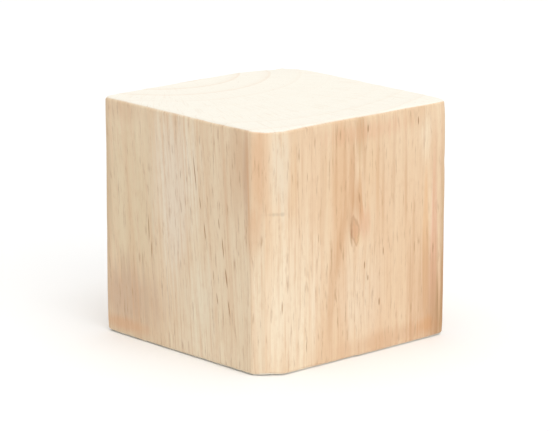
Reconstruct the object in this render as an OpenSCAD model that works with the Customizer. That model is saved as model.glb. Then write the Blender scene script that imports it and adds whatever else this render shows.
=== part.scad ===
// Wooden cube: a crosscut length of square-planed softwood.
// The grain runs along Z, so the top and the base are end grain and the four sides are long grain.
// The origin is the middle of the base.

/* [Block] */
// Side of the square-planed stock, across the grain
stock_side = 50; // [20:0.5:100]
// Length that the stock is crosscut to, along the grain
cut_length = 50; // [20:0.5:100]

/* [Eased edges] */
// Radius of three of the four long arrises
arris_r = 1; // [0.5:0.1:9]
// Radius of the fourth long arris, at -X -Y, which has been sanded the most
worn_arris_r = 5; // [0.5:0.1:9]
// Radius sanded round both end-grain faces, up to the radius of the tightest arris
end_edge_r = 0.8; // [0.4:0.1:9]

/* [Hidden] */
$fn = 96;

// Middle of the stock to a side
half_side = stock_side / 2;
// An end edge can't be rounder than the arris that it turns at the corner
end_r = min(end_edge_r, arris_r, worn_arris_r);

// Side view of the block from its middle line out to one side, with the two end edges rounded
module half_outline() {
    end_at = half_side - end_r;
    translate([0, end_r]) square([half_side, cut_length - 2 * end_r]);
    square([end_at, cut_length]);
    for (z = [end_r, cut_length - end_r])
        translate([end_at, z]) circle(r = end_r);
}

// From the middle plane of the block along Y to the centre line of an arris
module half_slab(arris_at) {
    translate([0, arris_at, 0])
        rotate([90, 0, 0])
            linear_extrude(height = arris_at)
                half_outline();
}

// A quarter-round arris at +X +Y. It turns the side view about the arris centre line,
// so its two ends carry the end edges round the corner.
module arris(r) {
    arris_at = half_side - r;
    translate([arris_at, arris_at, 0])
        rotate_extrude(angle = 90)
            intersection() {
                translate([-arris_at, 0]) half_outline();
                square([r, cut_length]);
            }
}

// The quarter of the block that holds one arris
module quarter(r) {
    half_slab(half_side - r);
    mirror([1, -1, 0]) half_slab(half_side - r);
    arris(r);
}

module cube_block() {
    color("burlywood")
        for (turn = [0:90:270])
            rotate([0, 0, turn]) quarter(turn == 180 ? worn_arris_r : arris_r);
}

cube_block();
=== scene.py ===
import math
from functools import partial

import bmesh
import bpy
import numpy as np
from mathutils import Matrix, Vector, noise


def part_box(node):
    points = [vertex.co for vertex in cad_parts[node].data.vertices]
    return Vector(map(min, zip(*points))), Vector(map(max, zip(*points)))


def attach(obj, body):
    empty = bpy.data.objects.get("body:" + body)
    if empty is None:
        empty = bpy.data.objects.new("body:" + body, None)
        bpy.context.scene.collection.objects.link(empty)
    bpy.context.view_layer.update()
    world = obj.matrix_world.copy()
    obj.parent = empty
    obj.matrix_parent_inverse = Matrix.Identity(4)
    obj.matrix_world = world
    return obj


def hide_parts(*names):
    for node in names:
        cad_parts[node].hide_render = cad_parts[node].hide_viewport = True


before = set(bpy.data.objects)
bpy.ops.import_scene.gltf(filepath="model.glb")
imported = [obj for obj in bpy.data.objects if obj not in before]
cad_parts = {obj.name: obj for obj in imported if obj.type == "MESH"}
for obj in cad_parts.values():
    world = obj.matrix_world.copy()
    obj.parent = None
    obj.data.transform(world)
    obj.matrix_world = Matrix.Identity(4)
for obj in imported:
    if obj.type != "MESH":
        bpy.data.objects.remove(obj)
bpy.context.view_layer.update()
mm = 0.001
halfSide = 25.0  # mm, from the block's middle to each of its faces
print("frame loaded:", len(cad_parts), "node")


def hexColour(text):
    # sRGB hex, such as "#EDCEAA", to the linear colour that a socket takes
    parts = [int(text[i:i + 2], 16) / 255 for i in (1, 3, 5)]
    linear = [c / 12.92 if c <= 0.04045 else ((c + 0.055) / 1.055) ** 2.4 for c in parts]
    return (*linear, 1.0)


def addNode(tree, kind, inputs=None, stops=None, **settings):
    # an input that is a node or a socket gets linked, and anything else is set as its value
    node = tree.nodes.new("ShaderNode" + kind)
    for name, value in settings.items():
        setattr(node, name, value)
    for name, value in (inputs or {}).items():
        if isinstance(value, bpy.types.Node):
            value = next(output for output in value.outputs if output.enabled)
        if isinstance(value, bpy.types.NodeSocket):
            tree.links.new(value, node.inputs[name])
        else:
            node.inputs[name].default_value = value
    if stops:
        # a colour ramp's stops, from its left end, each a position and a grey level
        ramp = node.color_ramp
        while len(ramp.elements) < len(stops):
            ramp.elements.new(1.0)
        for element, (position, level) in zip(ramp.elements, stops):
            element.position = position
            element.color = (level, level, level, 1.0)
    return node


def smoothStep(low, high, value):
    t = np.clip((value - low) / (high - low), 0.0, 1.0)
    return t * t * (3.0 - 2.0 * t)


def noiseField(points, size, shift):
    # Perlin noise in two octaves, about -1 to 1, with features size mm across; the shift takes another
    # part of it
    sized = points / np.array(size) + np.array(shift)
    return np.array([noise.fractal(Vector(p), 1.0, 2.0, 2) for p in sized.tolist()])


# All lengths are in mm, from the middle of the base: X to the right, Y from front to back and Z up
# along the grain. The front left arris is at -X -Y.
cubeBlock = {
    "cellsPerSide": 120,  # grid cells along each side of the block
    "cellCrowding": 0.45,  # 0 spaces them evenly, nearer 1 crowds them to the edges
    "arrisRadius": 1.0,  # three of the four long edges
    "wornArrisRadius": 5.0,  # the fourth, front left, which has been sanded most
    "wornFlats": ((35.0, 4.30), (58.0, 4.02)),  # its sanded flats: facing in degrees, and distance out
    "endEdgeRadius": 0.8,  # round both end-grain faces
    "pith": (-1.5, 35.0),  # middle of the tree, behind the block
    "ringEnds": (6.0, 11.5, 17.5, 24.0, 30.5, 37.0, 43.5, 49.0, 54.5, 60.2, 66.4, 72.5),
    "ringSway": {"by": 0.16, "over": (16.0, 16.0, 60.0)},  # how far the rings wander, and over how far
    "flame": {"opening": 0.44, "top": 32.0, "foot": 2.0},  # the rings open downwards between these heights
    # slope of the grain on the left side, where it grows in across X, and where it dies out along Y
    "sideLean": {"slope": 0.08, "across": (-12.0, -25.0), "fromArris": (-24.0, -14.0)},
    "knot": {  # where a twig comes out of the front
        "at": (-0.9, 26.7),  # X and Z of its middle
        "rise": 0.22,  # slope it grew at
        "lean": -8.0,  # degrees
        "across": 1.1,  # half its width
        "along": 3.3,  # half its height
        "deep": 40.0,  # how far it runs in
        "torn": {"fuzz": 1.0, "fineFibre": 0.8},  # what tears its edge
        "rim": 0.85,  # where its rim lies: 0 is its middle and 1 its skin
        "swell": 0.5,  # how far it lifts the rings
        "bending": 0.72,  # how much it bends the fibres round itself
        "bendReach": (2.9, 6.6),  # how far out, across and along
    },
    # how much deeper sanding cuts the soft earlywood, and where in a ring its latewood grows in and ends
    "ringRelief": {"depth": 0.05, "growsIn": (0.45, 0.95), "ends": (1.0, 0.97)},
    "edgeWander": {"by": 0.16, "over": (9.0, 9.0, 13.0)},  # uneven hand sanding along the edges
    "cornerWear": 0.10,  # extra taken off all eight corners
    # what the saw left on the end grain: how deep and how far apart its marks are, and how far they
    # run off square
    "saw": {"ripple": 0.02, "pitch": 1.9, "slant": 0.25},
    # worn corners, softened edges and small knocks: where, reach and depth
    "wear": (
        ((-23.8, -23.8, 50), (3.4, 3.4, 2.2), 0.42),
        ((24, 25, 50), (8.0, 5.5, 3.2), 0.78),
        ((-23.8, -23.8, 0), (3.0, 3.0, 2.0), 0.28),
        ((-25, 25, 0), (2.2, 2.2, 2.2), 0.16),
        ((25, -25, 0), (2.2, 2.2, 2.2), 0.20),
        ((-25, -9, 50), (1.8, 8, 1.8), 0.26),
        ((6, -25, 50), (7, 1.6, 1.6), 0.14),
        ((20, -25, 50), (8, 2.2, 2.2), 0.34),
        ((-22.4, -25, 33.1), (1.9, 2, 0.35), 0.12),
        ((13, -25, 6), (0.7, 2, 0.9), 0.07),
        ((-25, 12, 41), (2, 1.1, 0.6), 0.06),
        ((-25, -9, 8), (2, 0.6, 1), 0.06),
        ((25, -6, 17), (2, 1.6, 0.7), 0.08),
        ((25, 14, 36), (2, 0.8, 1.2), 0.07),
        ((-8, 25, 12), (1.5, 2, 0.8), 0.08),
        ((10, 25, 39), (0.8, 2, 1.4), 0.06),
        ((-11, 6, 50), (1.2, 0.8, 2), 0.07),
        ((9.5, -12, 50), (0.7, 1.3, 2), 0.06),
        ((-24.2, -24.2, 14), (2, 2, 1.2), 0.10),
        ((24.3, -24.3, 37), (2, 2, 1.5), 0.09),
    ),
}


def wornReach(settings, outward):
    # distance from the worn arris's centre line to its surface: a quarter-round cut by two flats
    direction = np.degrees(np.arctan2(-outward[:, 1], -outward[:, 0]))
    reach = np.full(len(outward), settings["wornArrisRadius"])
    for facing, distance in settings["wornFlats"]:
        towards = np.maximum(np.cos(np.radians(direction - facing)), 0.1)  # above 0 on the far side too
        reach = np.minimum(reach, distance / towards)
    return reach[:, None]


def blockPoints(settings, low, high):
    # a sharp grid cube, rounded by moving each point to the nearest one on the real shape
    bm = bmesh.new()
    bmesh.ops.create_cube(bm, size=2.0)
    bmesh.ops.subdivide_edges(bm, edges=bm.edges[:], cuts=settings["cellsPerSide"] - 1, use_grid_fill=True)
    grid = np.array([v.co for v in bm.verts])
    grid += settings["cellCrowding"] * np.sin(math.pi * grid) / math.pi
    half = (high - low) / 2
    points = grid * half
    end = settings["endEdgeRadius"]
    wornOne = (grid[:, :1] < 0.0) & (grid[:, 1:2] < 0.0)
    arrisLine = half[:2] - np.where(wornOne, settings["wornArrisRadius"], settings["arrisRadius"])
    straight = np.clip(points[:, :2], -arrisLine, arrisLine)
    outward = points[:, :2] - straight
    reach = np.linalg.norm(outward, axis=1, keepdims=True)
    # the core lies one end radius inside every face, so its own arrises are that much tighter
    arris = np.where(wornOne, wornReach(settings, outward), settings["arrisRadius"])
    core = np.empty_like(points)
    core[:, :2] = straight + outward * np.minimum(1.0, (arris - end) / np.maximum(reach, 1e-9))
    core[:, 2] = np.clip(points[:, 2], end - half[2], half[2] - end)
    away = points - core
    away /= np.linalg.norm(away, axis=1, keepdims=True)
    return bm, core + away * end + (low + high) / 2, away


def growGrain(settings, points):
    # where each point was in the straight tree (from the pith, mm), and how many rings lie inside it
    x, y, z = points.T
    knot = settings["knot"]
    knotZ = knot["at"][1] - knot["rise"] * (y + halfSide)
    acrossKnot = x - knot["at"][0]
    bendAcross, bendAlong = knot["bendReach"]
    nearKnot = np.exp(-(acrossKnot / bendAcross) ** 2 - ((z - knotZ) / bendAlong) ** 2)
    # the grain leans near the left side only, and not at the worn arris
    sideLean = settings["sideLean"]
    lean = sideLean["slope"] * smoothStep(*sideLean["across"], x) * smoothStep(*sideLean["fromArris"], y)
    grain = np.stack((
        x - settings["pith"][0] - knot["bending"] * acrossKnot * nearKnot,
        y - settings["pith"][1] - lean * (z - halfSide),
        z,
    ), axis=1)
    # below the knot the tree grew a little slimmer, so its rings open downwards in a flame
    flame = settings["flame"]
    depth = np.hypot(grain[:, 0], grain[:, 1])
    depth -= flame["opening"] * smoothStep(flame["top"], flame["foot"], z) + knot["swell"] * nearKnot
    sway = settings["ringSway"]
    depth += sway["by"] * noiseField(points, sway["over"], (3.1, 7.7, 0.4))
    rings = np.interp(depth, settings["ringEnds"], np.arange(len(settings["ringEnds"])))
    return grain, rings


def wearSurface(settings, points, outward, rings, endGrain):
    # how far each point lies inside the machined shape; nothing stands proud of it
    relief = settings["ringRelief"]
    phase = rings % 1.0
    latewood = smoothStep(*relief["growsIn"], phase) * smoothStep(*relief["ends"], phase)
    recess = relief["depth"] * (1.0 - latewood)
    # a point faces one way on a flat, two ways on an edge and three on a corner
    facing = np.sort(np.abs(outward), axis=1)
    onEdge = smoothStep(0.05, 0.5, facing[:, 1])
    onCorner = smoothStep(0.1, 0.5, facing[:, 0])
    wander = settings["edgeWander"]
    recess += wander["by"] * onEdge * (0.5 + 0.5 * noiseField(points, wander["over"], (1.3, 4.2, 8.8)))
    recess += settings["cornerWear"] * onCorner
    saw = settings["saw"]
    acrossCut = points[:, 0] + saw["slant"] * points[:, 1]
    recess += saw["ripple"] * endGrain * (0.5 + 0.5 * np.sin(2.0 * math.pi * acrossCut / saw["pitch"]))
    for place, reach, depth in settings["wear"]:
        away = np.linalg.norm((points - np.array(place)) / np.array(reach), axis=1)
        recess += depth * np.exp(-away ** 2)
    return recess


def storeField(mesh, name, kind, values):
    field = mesh.attributes.new(name, kind, "POINT")
    slot = "vector" if kind == "FLOAT_VECTOR" else "value"
    field.data.foreach_set(slot, values.astype(np.float32).ravel())


def makeBlock(settings, low, high):
    bm, points, outward = blockPoints(settings, np.array(low) / mm, np.array(high) / mm)
    grain, rings = growGrain(settings, points)
    endGrain = smoothStep(0.45, 0.9, np.abs(outward[:, 2]))  # 1 where the surface faces up or down
    recess = wearSurface(settings, points, outward, rings, endGrain)
    points = (points - outward * recess[:, None]) * mm
    mesh = bpy.data.meshes.new("sandedBlock")
    bm.to_mesh(mesh)
    bm.free()
    mesh.vertices.foreach_set("co", points.ravel())
    storeField(mesh, "grain", "FLOAT_VECTOR", grain)
    storeField(mesh, "rings", "FLOAT", rings)
    storeField(mesh, "endGrain", "FLOAT", endGrain)
    mesh.shade_smooth()
    mesh.update()
    block = bpy.data.objects.new("sandedBlock", mesh)
    bpy.context.scene.collection.objects.link(block)
    print("block:", len(mesh.vertices), "points, deepest wear", round(float(recess.max()), 3), "mm")
    return block


# Radiata pine, planed on the sides, crosscut and sanded, with no finish: matt and pale, with soft
# brown-pink latewood lines, fine fibre streaks and short brown dashes where resin canals are cut.
pineLook = {
    "earlywoodPale": "#F3DCBC",
    "earlywoodPeach": "#EACBA8",
    "latewood": "#D9A676",
    "fibre": "#D2A67A",
    "canal": "#AE7F55",
    "knot": "#C67D42",  # a twig's own wood, redder and denser than the wood about it
    "bark": "#9A6338",  # and its dark rim
    # near white: partly pine's own pale end grain and partly painted light of a strongly lit top
    "endGrain": "#F6F1E4",
    "peachFrom": (0.36, 0.64),  # where in the broad fibres pale earlywood turns to peach
    # latewood of each ring, from the pith outwards: 0 hardly shows, 1 is darkest
    "ringStrengths": (0.8, 0.7, 0.6, 0.35, 0.22, 0.18, 0.22, 0.36, 0.42, 0.62, 0.8, 0.8),
    # how dark a ring is from its inner edge, 0, to its outer edge, 1: pale earlywood darkens slowly to
    # latewood, which stops short
    "ringProfile": ((0.0, 0.35), (0.03, 0.02), (0.35, 0.04), (0.62, 0.14), (0.84, 0.5), (0.955, 1.0),
                    (0.985, 0.85)),
    "ringFray": 0.05,  # how far fine fibres fray the rings' lines, in rings
    # painted over the tints, in this order: colour, pattern, where in the pattern it starts and is full,
    # and its amount
    "sideCovers": (
        ("latewood", "latewood", 0.0, 1.0, 0.62),
        ("fibre", "midFibre", 0.52, 0.78, 0.30),
        ("fibre", "fineFibre", 0.48, 0.78, 0.40),
        ("canal", "shortFibre", 0.54, 0.78, 0.55),
        ("fibre", "fuzz", 0.45, 0.72, 0.16),
        ("canal", "canals", 0.0, 1.0, 1.0),
        ("knot", "twig", 1.4, 0.2, 0.42),
        ("bark", "twigRim", 0.36, 0.0, 0.28),
    ),
    "endCovers": (
        ("latewood", "latewood", 0.0, 1.0, 0.22),
        ("fibre", "rays", 0.5, 0.75, 0.12),
        ("fibre", "pores", 0.52, 0.72, 0.14),
        ("canal", "scatteredCanals", 0.0, 1.0, 0.3),
    ),
    "ior": 1.53,
    # dry wood is matt: fibres vary it, end grain is duller and latewood a little smoother
    "roughness": {"middle": 0.56, "spread": 0.25, "endGrain": 0.12, "latewood": -0.05},
    # relief under the mesh's own, in shares of its depth in mm: raised fibres on the sides, sunk canals,
    # and pores on the end grain
    "relief": {"depth": 0.05, "strength": 0.5, "fineFibre": 0.7, "midFibre": 0.5, "canals": -0.5,
               "pores": 0.9},
    # noise drawn out along the grain: width, length, roughness, and which part of it is taken; real
    # fibres are 0.03 mm wide, too fine to show, so the finest streaks are drawn 0.45 mm wide
    "streaks": {
        "fineFibre": (0.45, 16.0, 0.6, 4.0),
        "shortFibre": (0.55, 5.0, 0.6, 5.0),
        "midFibre": (1.3, 40.0, 0.55, 9.0),
        "broadFibre": (4.5, 90.0, 0.5, 2.0),
        "fuzz": (1.0, 2.2, 0.6, 7.0),
    },
    # scattered resin canals, about 0.2 mm wide as real ones are: spacing across and along the grain, size as
    # a share of that, and which part of the pattern is taken
    "canalCells": ((2.1, 19.0, 0.085, 3.0), (3.4, 30.0, 0.06, 11.0)),
    "canalStrength": {"scattered": 0.55, "long": 0.8},
    "canalEdge": {"start": 1.1, "full": 0.35},  # a long one comes in just outside its skin, 1
    # rays out from the pith on the end grain, 0.1 to 0.7 mm apart, and how often they break; real ones,
    # 0.03 mm wide, are too fine to show, and so are real pores
    "rays": {"perRadian": 95.0, "perRing": 0.8},
    "poresPerMm": 2.6,
    # a tint comes in from start to full, and fibres tear its edge, so that it breaks into streaks
    "tintEdge": {"start": 1.25, "full": 0.25, "torn": {"midFibre": 1.7, "fineFibre": 1.0}},
    # the wood's own tints, some broad and some a single streak, and among them painted shade, shadow and
    # bounce light: where, reach, lean in degrees, colour and amount
    "tintsAndPaintedLight": (
        # left side
        # painted shade: the whole left side made greyer and a little darker, as the side turned from the
        # light
        ((-25, 0, 25), (2.2, 60, 60), 0, "#E9D8BA", 0.40),
        ((-25, 18, 28), (3, 9, 26), 0, "#DCC79F", 0.35),
        ((-25, 2.6, 35), (3, 7.5, 20), 0, "#F4EBDC", 0.42),
        # painted shadow: a pink-brown patch low towards the back of the left side
        ((-25, 19, 9), (3, 14, 8), 0, "#BE937A", 0.44),
        ((-25, -16, 41), (3, 3.4, 13), 0, "#CB9768", 0.32),
        ((-25, -18.9, 40), (3, 1, 12), 0, "#B67C57", 0.42),
        ((-25, -4, 11.5), (3, 7, 10), 0, "#F4EAD2", 0.40),
        ((-25, 11.5, 28), (3, 3.4, 26), 0, "#D3B78C", 0.16),
        ((-25, 25, 28), (3, 3.0, 30), 0, "#CDAF8A", 0.66),
        # painted bounce light along the foot of the left side: an orange band towards the back and a paler
        # patch towards the front
        ((-25, 19, 2.6), (3, 9, 1.8), 0, "#DF9C62", 0.40),
        ((-25, -6, 1), (3, 14, 6), 0, "#FBEBD0", 0.48),
        ((-25, 19, 48), (3, 8, 3), 0, "#CB946C", 0.18),
        # worn arris
        ((-24, -21.5, 42), (2.4, 2.6, 13), 0, "#DFA675", 0.46),
        ((-24.6, -20.6, 29), (1.6, 2.2, 5.5), 0, "#D79A66", 0.34),
        ((-23.4, -22.6, 11), (3.2, 3.4, 21), 0, "#F8E6CA", 0.52),
        # front
        ((-18, -25, 14), (7, 3, 19), 0, "#FAECD2", 0.52),
        ((-21.5, -25, 42), (5, 3, 10), 0, "#EBDFC9", 0.45),
        # painted shadow: a thin dark line under the small knock in the front
        ((-22.4, -25, 33), (2.6, 3, 0.5), 0, "#A08360", 0.35),
        ((-17.7, -25, 40.5), (1.4, 3, 9.5), 0, "#E3B273", 0.24),
        ((-9.4, -25, 36), (0.9, 3, 16), 0, "#C9955F", 0.20),
        ((-4.5, -25, 38), (5, 3, 17), 0, "#DDAC78", 0.30),
        ((-6.2, -25, 40), (0.5, 3, 12), 0, "#C58A58", 0.26),
        ((-3.7, -25, 41), (0.6, 3, 13), 0, "#C58A58", 0.30),
        ((-1.5, -25, 37), (1.0, 3, 11), 0, "#C58A58", 0.44),
        ((-4.6, -25, 26), (1.0, 3, 9), 10, "#C48E5F", 0.32),
        ((-7.4, -25, 13.5), (1.2, 3, 13), 6, "#C48E5F", 0.30),
        ((-2.0, -25, 27.2), (0.7, 3, 4.4), -8, "#A9733F", 0.28),
        ((1.4, -25, 27.6), (2.2, 3, 4.0), 0, "#DC936E", 0.38),
        ((-0.4, -25, 32.5), (1.5, 3, 5.2), 0, "#C58A58", 0.46),
        ((0.3, -25, 47), (1.5, 3, 6.5), 0, "#B98D5A", 0.42),
        ((1.4, -25, 41), (0.6, 3, 9), 0, "#C18A58", 0.28),
        ((-0.1, -25, 24.6), (1.2, 3, 1.9), -8, "#F4DDB4", 0.60),
        ((1, -25, 12), (6, 3, 13), 0, "#F6E8D0", 0.50),
        ((-11.6, -25, 13), (1.4, 3, 17), 0, "#FBEBD0", 0.38),
        ((12.6, -25, 24), (1.9, 3, 25), 0, "#D9AE82", 0.24),
        ((14.5, -25, 30), (10.5, 3, 32), 0, "#E7C29B", 0.42),
        ((3.4, -25, 39), (3, 3, 13), 0, "#E0B27F", 0.34),
        ((5.2, -25, 38), (0.6, 3, 11), 0, "#C18A58", 0.12),
        ((6.8, -25, 34), (0.5, 3, 10), 0, "#C18A58", 0.24),
        ((9.8, -25, 36), (0.7, 3, 13), 0, "#C18A58", 0.28),
        ((13.2, -25, 33), (0.5, 3, 9), 0, "#C18A58", 0.26),
        ((15.6, -25, 22), (0.5, 3, 12), 0, "#C18A58", 0.25),
        ((1.5, -25, 46.5), (13, 3, 2.2), 0, "#D98E66", 0.20),
        ((18.6, -25, 43), (1.8, 3, 7), 0, "#FBEED4", 0.50),
        ((24, -25, 40), (2, 3, 11), 0, "#E2B894", 0.30),
        ((19, -25, 18), (0.9, 3, 22), 0, "#E3A866", 0.36),
        ((21.5, -25, 18), (1.2, 3, 20), 0, "#E3A086", 0.48),
        ((21.2, -25, 38), (1.8, 3, 8), 0, "#DDAE84", 0.30),
        # painted shade, darkest low down, along the front's right arris where it turns away from the light
        ((22.5, -25, 8), (8, 3, 14), 0, "#C39066", 0.50),
        ((24.8, -25, 21), (2.8, 2, 24), 0, "#BE9468", 0.60),
        ((25.2, -25, 10), (2.4, 1.4, 15), 0, "#A06F43", 0.74),
        ((22.8, -25, 3), (2.4, 1.6, 10), 0, "#A67C46", 0.42),
        # painted warm bounce light, a small orange patch at the foot of the front
        ((18.8, -25, 3.2), (2.8, 3, 2.0), 0, "#DE9A54", 0.32),
        ((15.5, -25, 48), (5, 3, 3.5), 0, "#D9A87C", 0.22),
        # painted warm bounce light, a peach band along the foot of the front
        ((10, -25, 2.2), (17, 3, 2.6), 0, "#CC9264", 0.30),
    ),
    # resin canals cut lengthwise: where, reach and lean in degrees
    "canals": (
        ((-25, 10.8, 24.4), (1.2, 0.20, 3.4), 2),
        ((-25, 10.0, 20.2), (1.2, 0.16, 2.2), 2),
        ((-25, -3.6, 38.5), (1.2, 0.20, 4.6), 8),
        ((-25, -5.2, 32.6), (1.2, 0.16, 1.8), 9),
        ((-25, -6.6, 27.0), (1.2, 0.20, 2.4), 8),
        ((-25, -10.8, 29.4), (1.2, 0.17, 1.5), 6),
        ((-25, -12.0, 24.6), (1.2, 0.20, 2.8), 7),
        ((-25, -13.0, 18.6), (1.2, 0.28, 2.6), 9),
        ((-25, -10.2, 13.8), (1.2, 0.16, 1.6), 10),
        ((-25, -13.8, 12.4), (1.2, 0.20, 2.4), 11),
        ((1.6, -25, 19.0), (0.18, 1.2, 1.1), 0),
        ((2.6, -25, 16.2), (0.18, 1.2, 0.8), 0),
        ((6.9, -25, 21.0), (0.18, 1.2, 1.2), 0),
        ((5.8, -25, 10.6), (0.25, 1.2, 1.1), 0),
        ((2.4, -25, 47.0), (0.25, 1.2, 1.1), 0),
        ((16.6, -25, 46.6), (0.22, 1.2, 1.2), 0),
        ((-20.4, -25, 14.0), (0.18, 1.2, 2.2), 0),
        ((-22.8, -25, 9.8), (0.18, 1.2, 1.6), 0),
    ),
}


def grainPatterns(add, look):
    # fields made with the mesh, in mm and ring counts, and streaks of noise drawn out along them
    grain = add("Attribute", attribute_name="grain").outputs["Vector"]
    wood = {
        "grain": grain,
        "rings": add("Attribute", attribute_name="rings").outputs["Fac"],
        "onEnd": add("Attribute", attribute_name="endGrain").outputs["Fac"],
        "place": add("VectorMath", {0: add("TexCoord").outputs["Object"], "Scale": 1.0 / mm},
                     operation="SCALE"),
    }
    for name, (width, length, roughness, shift) in look["streaks"].items():
        sized = add("Mapping", {"Vector": grain, "Location": (shift, shift, shift),
                                "Scale": (1.0 / width, 1.0 / width, 1.0 / length)})
        wood[name] = add("TexNoise", {"Vector": sized, "Scale": 1.0, "Detail": 3.0, "Roughness": roughness})
    wood["pores"] = add("TexNoise", {"Vector": wood["place"], "Scale": look["poresPerMm"], "Detail": 3.0,
                                     "Roughness": 0.7})
    return wood


def nearby(add, wood, where, reach, turn):
    # place measured from the middle of a mark, in the mark's own reaches
    return add("Mapping", {"Vector": wood["place"], "Location": where, "Rotation": turn, "Scale": reach},
               vector_type="TEXTURE")


def within(add, wood, where, reach, lean):
    # 0 at the middle of an ellipsoid and 1 at its skin; it leans in the plane of its own side
    angle = math.radians(lean)
    turn = (-angle, 0.0, 0.0) if where[0] == -halfSide else (0.0, angle, 0.0)
    return add("VectorMath", {0: nearby(add, wood, where, reach, turn)}, operation="LENGTH")


def tornEdge(add, wood, shares):
    # noise to tear a mark's edge; each pattern runs about 0.5, so half of its share comes off
    torn = -0.5 * sum(shares.values())
    for name, share in shares.items():
        torn = add("Math", {0: wood[name], 1: share, 2: torn}, operation="MULTIPLY_ADD")
    return torn


def cover(add, look, under, colour, pattern, start, full, amount=1.0):
    # the colour, hex or named in the look, comes in where the pattern passes start, up to its amount
    # where it reaches full
    mask = add("MapRange", {0: pattern, 1: start, 2: full, 4: amount}, interpolation_type="SMOOTHSTEP")
    return add("Mix", {0: mask, 6: under, 7: hexColour(look.get(colour, colour))}, data_type="RGBA")


def ringShade(add, look, wood):
    # growth rings; a little of the fibres in them makes their lines fray
    rings = add("Math", {0: wood["fineFibre"], 1: look["ringFray"], 2: wood["rings"]},
                operation="MULTIPLY_ADD")
    profile = add("ValToRGB", {0: add("Math", {0: rings}, operation="FRACT")}, stops=look["ringProfile"])
    profile.color_ramp.interpolation = "EASE"
    # the ring's own strength, from a ramp with one flat stop for each ring
    count = len(look["ringStrengths"])
    wholeRings = add("Math", {0: rings}, operation="FLOOR")
    stop = add("Math", {0: wholeRings, 1: 1.0 / count, 2: 0.5 / count}, operation="MULTIPLY_ADD")
    strength = add("ValToRGB", {0: stop},
                   stops=[(i / count, level) for i, level in enumerate(look["ringStrengths"])])
    strength.color_ramp.interpolation = "CONSTANT"
    return add("Math", {0: profile, 1: strength}, operation="MULTIPLY")


def scatteredCanals(add, look, wood):
    # 1 in a canal: dashes where the saw cut along it, and dots across
    cells = []
    for width, length, size, shift in look["canalCells"]:
        sized = add("Mapping", {"Vector": wood["grain"], "Location": (shift, -shift, shift),
                                "Scale": (1.0 / width, 1.0 / width, 1.0 / length)})
        spots = add("TexVoronoi", {"Vector": sized, "Scale": 1.0, "Randomness": 1.0})
        cells.append(add("MapRange", {0: spots, 1: size, 2: 0.45 * size}, interpolation_type="SMOOTHSTEP"))
    return add("Math", {0: cells[0], 1: cells[1]}, operation="MAXIMUM")


def allCanals(add, look, wood):
    # the scattered ones, fainter, and the long ones that stand out, soft from their skin in
    strength = look["canalStrength"]
    edge = look["canalEdge"]
    nearest = 2.0  # beyond every canal's skin
    for where, reach, lean in look["canals"]:
        nearest = add("Math", {0: within(add, wood, where, reach, lean), 1: nearest}, operation="MINIMUM")
    longOnes = add("MapRange", {0: nearest, 1: edge["start"], 2: edge["full"], 4: strength["long"]},
                   interpolation_type="SMOOTHSTEP")
    faint = add("Math", {0: wood["scatteredCanals"], 1: strength["scattered"]}, operation="MULTIPLY")
    return add("Math", {0: faint, 1: longOnes}, operation="MAXIMUM")


def rayStreaks(add, look, wood):
    # streaks that run out from the pith: narrow round it and long across the rings
    split = add("SeparateXYZ", {0: wood["grain"]})
    around = add("Math", {0: split.outputs["X"], 1: split.outputs["Y"]}, operation="ARCTAN2")
    around = add("Math", {0: around, 1: look["rays"]["perRadian"]}, operation="MULTIPLY")
    outward = add("Math", {0: wood["rings"], 1: look["rays"]["perRing"]}, operation="MULTIPLY")
    ray = add("CombineXYZ", {0: around, 1: outward})
    return add("TexNoise", {"Vector": ray, "Scale": 1.0, "Detail": 2.0})


def knotShape(add, knot, wood):
    # a twig cut lengthwise: two arcs that meet in points above and below, with a torn edge. It passes 1
    # at its skin, and the second pattern falls to 0 along its rim
    turn = (-math.atan(knot["rise"]), math.radians(knot["lean"]), 0.0)
    twig = nearby(add, wood, (knot["at"][0], -halfSide, knot["at"][1]),
                  (knot["across"], knot["deep"], knot["along"]), turn)
    lengthwise = add("VectorMath", {0: twig, 1: (0.0, 1.0, 1.0)}, operation="MULTIPLY")
    ends = add("VectorMath", {0: lengthwise, 1: lengthwise}, operation="DOT_PRODUCT")
    flanks = add("Math", {0: add("SeparateXYZ", {0: twig})}, operation="ABSOLUTE")
    lens = add("Math", {0: flanks, 1: ends}, operation="ADD")
    inside = add("Math", {0: lens, 1: tornEdge(add, wood, knot["torn"])}, operation="ADD")
    fromRim = add("Math", {0: inside, 1: knot["rim"]}, operation="SUBTRACT")
    return inside, add("Math", {0: fromRim}, operation="ABSOLUTE")


def paintSides(add, look, wood):
    # earlywood of two colours, tinted in places, with the rings, fibres, canals and knot over it
    side = cover(add, look, hexColour(look["earlywoodPale"]), "earlywoodPeach", wood["broadFibre"],
                 *look["peachFrom"])
    tint = look["tintEdge"]
    torn = tornEdge(add, wood, tint["torn"])
    for where, reach, lean, colour, amount in look["tintsAndPaintedLight"]:
        edge = add("Math", {0: within(add, wood, where, reach, lean), 1: torn}, operation="ADD")
        side = cover(add, look, side, colour, edge, tint["start"], tint["full"], amount)
    for colour, pattern, start, full, amount in look["sideCovers"]:
        side = cover(add, look, side, colour, wood[pattern], start, full, amount)
    return side


def paintEnds(add, look, wood):
    # paler, near white partly from painted light of a strongly lit top, with the rings as faint arcs, rays
    # and open pores
    ends = hexColour(look["endGrain"])
    for colour, pattern, start, full, amount in look["endCovers"]:
        ends = cover(add, look, ends, colour, wood[pattern], start, full, amount)
    return ends


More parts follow.
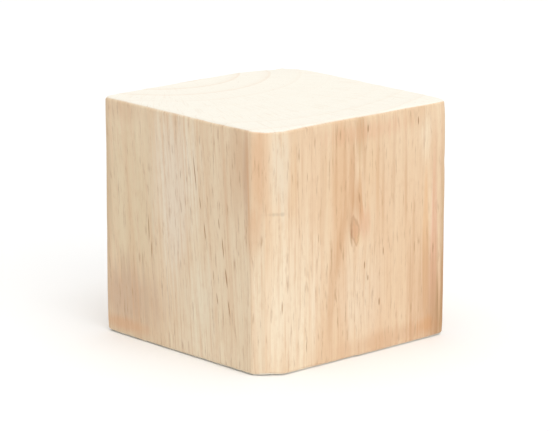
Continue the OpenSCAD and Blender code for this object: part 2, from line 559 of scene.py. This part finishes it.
def fineRelief(add, look, wood):
    relief = look["relief"]
    onSide = add("Math", {0: 1.0, 1: wood["onEnd"]}, operation="SUBTRACT")
    broad = add("Math", {0: wood["midFibre"], 1: relief["midFibre"]}, operation="MULTIPLY")
    fibres = add("Math", {0: wood["fineFibre"], 1: relief["fineFibre"], 2: broad}, operation="MULTIPLY_ADD")
    height = add("Math", {0: fibres, 1: onSide}, operation="MULTIPLY")
    height = add("Math", {0: wood["canals"], 1: relief["canals"], 2: height}, operation="MULTIPLY_ADD")
    endPores = add("Math", {0: wood["pores"], 1: wood["onEnd"]}, operation="MULTIPLY")
    height = add("Math", {0: endPores, 1: relief["pores"], 2: height}, operation="MULTIPLY_ADD")
    return add("Bump", {"Strength": relief["strength"], "Distance": relief["depth"] * mm,
                        "Height": height})


def dullness(add, look, wood):
    rough = look["roughness"]
    lowest = rough["middle"] - 0.5 * rough["spread"]
    dull = add("Math", {0: wood["fineFibre"], 1: rough["spread"], 2: lowest}, operation="MULTIPLY_ADD")
    dull = add("Math", {0: wood["onEnd"], 1: rough["endGrain"], 2: dull}, operation="MULTIPLY_ADD")
    return add("Math", {0: wood["latewood"], 1: rough["latewood"], 2: dull}, operation="MULTIPLY_ADD")


def sandedPine(look, knot, block):
    material = bpy.data.materials.new("sandedPine")
    material.use_nodes = True
    add = partial(addNode, material.node_tree)
    wood = grainPatterns(add, look)
    wood["latewood"] = ringShade(add, look, wood)
    wood["scatteredCanals"] = scatteredCanals(add, look, wood)
    wood["canals"] = allCanals(add, look, wood)
    wood["rays"] = rayStreaks(add, look, wood)
    wood["twig"], wood["twigRim"] = knotShape(add, knot, wood)
    side = paintSides(add, look, wood)
    ends = paintEnds(add, look, wood)
    colour = add("Mix", {0: wood["onEnd"], 6: side, 7: ends}, data_type="RGBA")
    shader = material.node_tree.nodes["Principled BSDF"]
    for name, source in (("Base Color", colour.outputs[2]),
                         ("Roughness", dullness(add, look, wood).outputs[0]),
                         ("Normal", fineRelief(add, look, wood).outputs[0])):
        material.node_tree.links.new(source, shader.inputs[name])
    shader.inputs["IOR"].default_value = look["ior"]
    block.data.materials.append(material)


low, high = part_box("cube_block")
block = makeBlock(cubeBlock, low, high)
sandedPine(pineLook, cubeBlock["knot"], block)
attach(block, "root")
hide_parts("cube_block")
print("wood made")


studio = {
    "floorSize": 6.0,  # m
    "floorColour": "#FDFDFC",
    "floorRoughness": 0.9,
    "skyLevel": 0.34,
    "overheadLevel": 0.51,  # 1 lights a level surface to its own colour
    "overheadSpread": 70.0,  # degrees across, so that its shadows are soft
    "keyLevel": 0.34,
    "keyFrom": (-15.0, 38.0),  # degrees round to the left of the front, and up
    "keySpread": 60.0,
    "azimuth": -42.4,  # of the camera, in degrees: 0 looks at the front
    "elevation": 13.8,
    "distance": 0.65,  # m from the block's middle
    "lens": 206.0,
}


def makeFloor(settings):
    bm = bmesh.new()
    bmesh.ops.create_grid(bm, x_segments=1, y_segments=1, size=settings["floorSize"] / 2)
    mesh = bpy.data.meshes.new("paperFloor")
    bm.to_mesh(mesh)
    bm.free()
    floor = bpy.data.objects.new("paperFloor", mesh)
    bpy.context.scene.collection.objects.link(floor)
    # matt white paper, uncoated: no gloss, and its tooth is too fine to show
    paper = bpy.data.materials.new("mattPaper")
    paper.use_nodes = True
    shader = paper.node_tree.nodes["Principled BSDF"]
    shader.inputs["Base Color"].default_value = hexColour(settings["floorColour"])
    shader.inputs["Roughness"].default_value = settings["floorRoughness"]
    mesh.materials.append(paper)


def addSun(name, level, spread, azimuth, elevation):
    lamp = bpy.data.lights.new(name, "SUN")
    lamp.energy = level * math.pi
    lamp.angle = math.radians(spread)
    sun = bpy.data.objects.new(name, lamp)
    sun.rotation_euler = (math.radians(90.0 - elevation), 0.0, math.radians(azimuth))
    bpy.context.scene.collection.objects.link(sun)


def makeSky(settings):
    # white to the camera and in reflections, and at its own level where it lights the block
    world = bpy.data.worlds.new("whiteStudio")
    world.use_nodes = True
    world.node_tree.nodes.clear()
    add = partial(addNode, world.node_tree)
    rays = add("LightPath")
    seen = add("Math", {0: rays.outputs["Is Camera Ray"], 1: rays.outputs["Is Glossy Ray"]},
               operation="MAXIMUM")
    seen = add("Math", {0: seen, 1: rays.outputs["Is Transmission Ray"]}, operation="MAXIMUM")
    level = add("MapRange", {0: seen, 3: settings["skyLevel"], 4: 1.0})
    sky = add("Background", {"Color": (1.0, 1.0, 1.0, 1.0), "Strength": level})
    add("OutputWorld", {"Surface": sky})
    bpy.context.scene.world = world


def addCamera(settings, middle):
    azimuth = math.radians(settings["azimuth"])
    elevation = math.radians(settings["elevation"])
    offset = Vector((math.sin(azimuth) * math.cos(elevation), -math.cos(azimuth) * math.cos(elevation),
                     math.sin(elevation)))
    lens = bpy.data.cameras.new("camera")
    lens.lens = settings["lens"]
    lens.sensor_width = 36.0
    lens.clip_start = 0.01
    camera = bpy.data.objects.new("camera", lens)
    camera.location = middle + offset * settings["distance"]
    camera.rotation_euler = (-offset).to_track_quat("-Z", "Y").to_euler()
    bpy.context.scene.collection.objects.link(camera)
    bpy.context.scene.camera = camera


makeFloor(studio)
makeSky(studio)
addSun("overheadLamp", studio["overheadLevel"], studio["overheadSpread"], 0.0, 90.0)
addSun("keyLamp", studio["keyLevel"], studio["keySpread"], *studio["keyFrom"])
addCamera(studio, (low + high) / 2)
bpy.context.scene.view_settings.view_transform = "Standard"
print("studio made")
